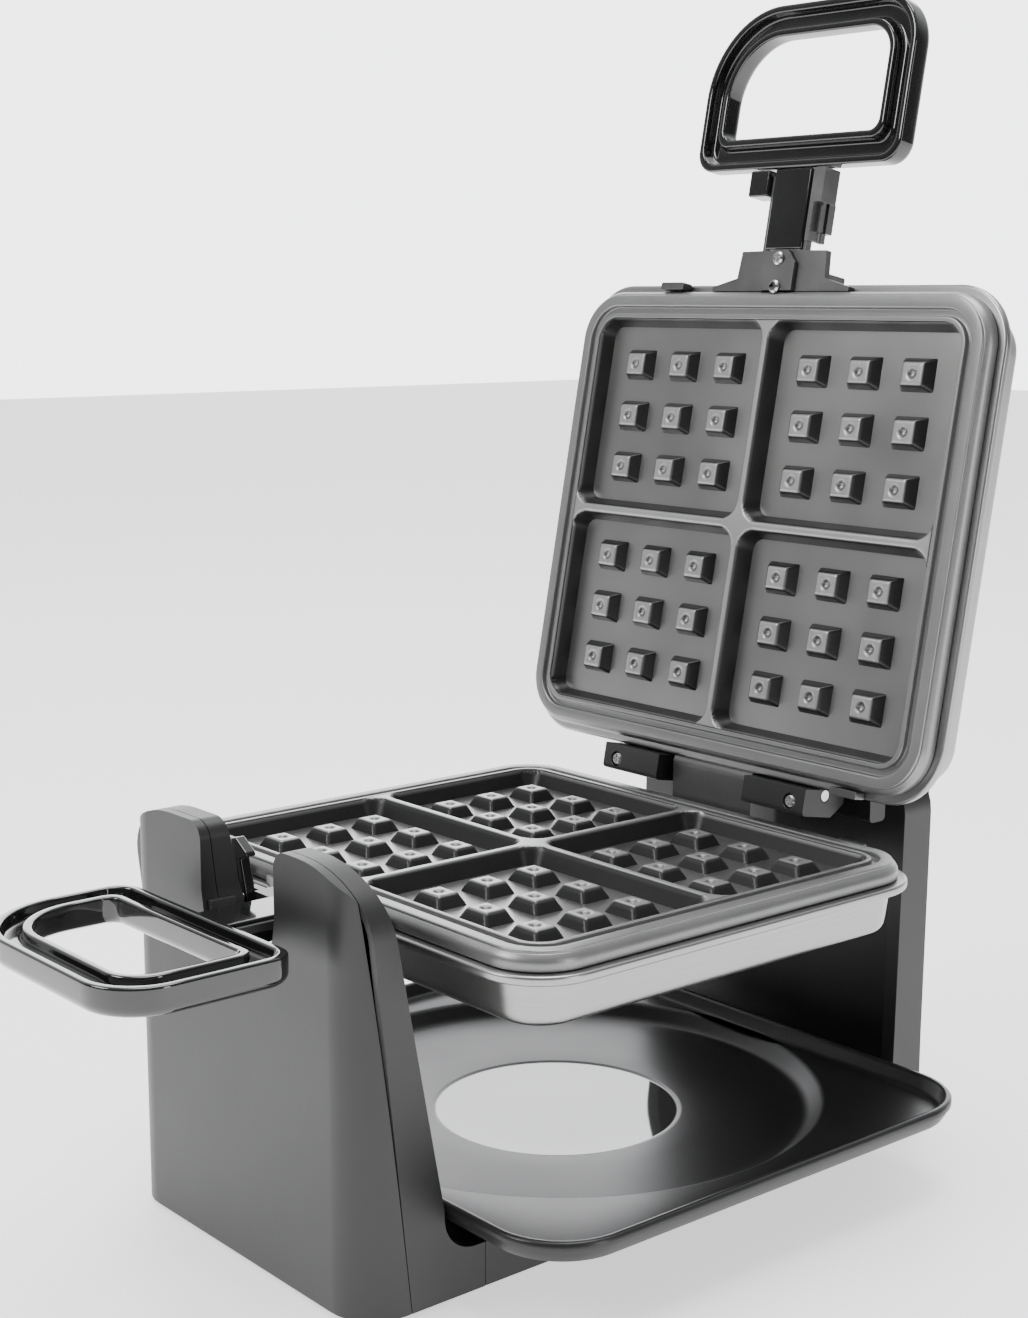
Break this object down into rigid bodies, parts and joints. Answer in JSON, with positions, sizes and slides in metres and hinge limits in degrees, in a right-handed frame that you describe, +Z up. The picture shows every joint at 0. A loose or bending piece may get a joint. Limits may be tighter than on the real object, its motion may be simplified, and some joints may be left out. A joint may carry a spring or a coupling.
{
  "type": "waffle maker",
  "caption": "Rotating waffle maker with four square waffle fields, its lid open on the rear hinge, two loop handles, a twin-tower base and a square drip tray.",
  "frame": {"origin": "middle of the bottom of the bounding box, on the surface the feet stand on", "axes": "+Z up, +Y from the handles to the rear hinge, +X to the right as seen from the handles"},
  "size_m": [0.258, 0.395, 0.4754],
  "materials": {
    "satin_plastic": "fine satin charcoal",
    "gloss_plastic": "glossy black",
    "tray_plastic": "dark satin",
    "nonstick": "speckled non-stick coating on cast aluminium",
    "stainless": "brushed",
    "cast_metal": "satin",
    "yoke_metal": "dark satin casting with a lighter hinge tongue",
    "bright_steel": "bright",
    "rubber": "matt black",
    "bronze": "sintered",
    "phenolic": "moulded"
  },
  "bodies": {
    "base": {"front_cover": "satin_plastic", "front_inner_shell": "satin_plastic", "rear_cover": "satin_plastic", "rear_inner_shell": "satin_plastic", "base_pan": "satin_plastic", "neck_cradle": "satin_plastic", "rear_bush": "bronze", "cord_gland": "rubber", "foot_1": "rubber", "foot_2": "rubber", "foot_3": "rubber", "foot_4": "rubber"},
    "tray": {"drip_tray": "tray_plastic"},
    "lower_half": {"lower_housing": "stainless", "lower_plate": "nonstick", "lower_heater": "bright_steel", "lower_reflector": "stainless", "lower_bracket": "cast_metal", "lower_strap": "cast_metal", "lower_screw_1": "bright_steel", "lower_screw_2": "bright_steel", "lower_neck": "gloss_plastic", "lower_handle": "gloss_plastic", "lower_clip_front": "cast_metal", "lower_clip_rear": "cast_metal", "lower_thermostat": "phenolic", "rear_yoke": "yoke_metal", "rear_shaft": "bright_steel", "hinge_pin": "bright_steel", "latch_pin": "bright_steel"},
    "lid": {"upper_housing": "stainless", "upper_plate": "nonstick", "upper_heater": "bright_steel", "upper_reflector": "stainless", "upper_bracket": "cast_metal", "upper_strap": "cast_metal", "upper_screw_1": "bright_steel", "upper_screw_2": "bright_steel", "upper_neck": "gloss_plastic", "upper_handle": "gloss_plastic", "upper_clip_front": "cast_metal", "upper_clip_rear": "cast_metal", "upper_fuse": "phenolic", "hinge_ear_left": "satin_plastic", "ear_screw_left": "bright_steel", "hinge_ear_right": "satin_plastic", "ear_screw_right": "bright_steel", "latch_clip": "cast_metal", "guide_block": "gloss_plastic"},
    "latch": {"latch_hook": "gloss_plastic"}
  },
  "joints": [
    {"name": "clamshell_flip", "type": "hinge", "parent": "base", "child": "lower_half", "pos_m": [0, 0.1565, 0.1378], "axis": [0, 1, 0], "range_deg": [0, 40]},
    {"name": "lid_hinge", "type": "hinge", "parent": "lower_half", "child": "lid", "pos_m": [0, 0.1305, 0.151], "axis": [1, 0, 0], "range_deg": [0, 100.8]},
    {"name": "latch_pivot", "type": "hinge", "parent": "lower_half", "child": "latch", "pos_m": [-0.028, -0.0931, 0.131], "axis": [0, 1, 0], "range_deg": [0, 15]},
    {"name": "tray_slide", "type": "slide", "parent": "base", "child": "tray", "axis": [1, 0, 0], "range_m": [0, 0.25]}
  ]
}
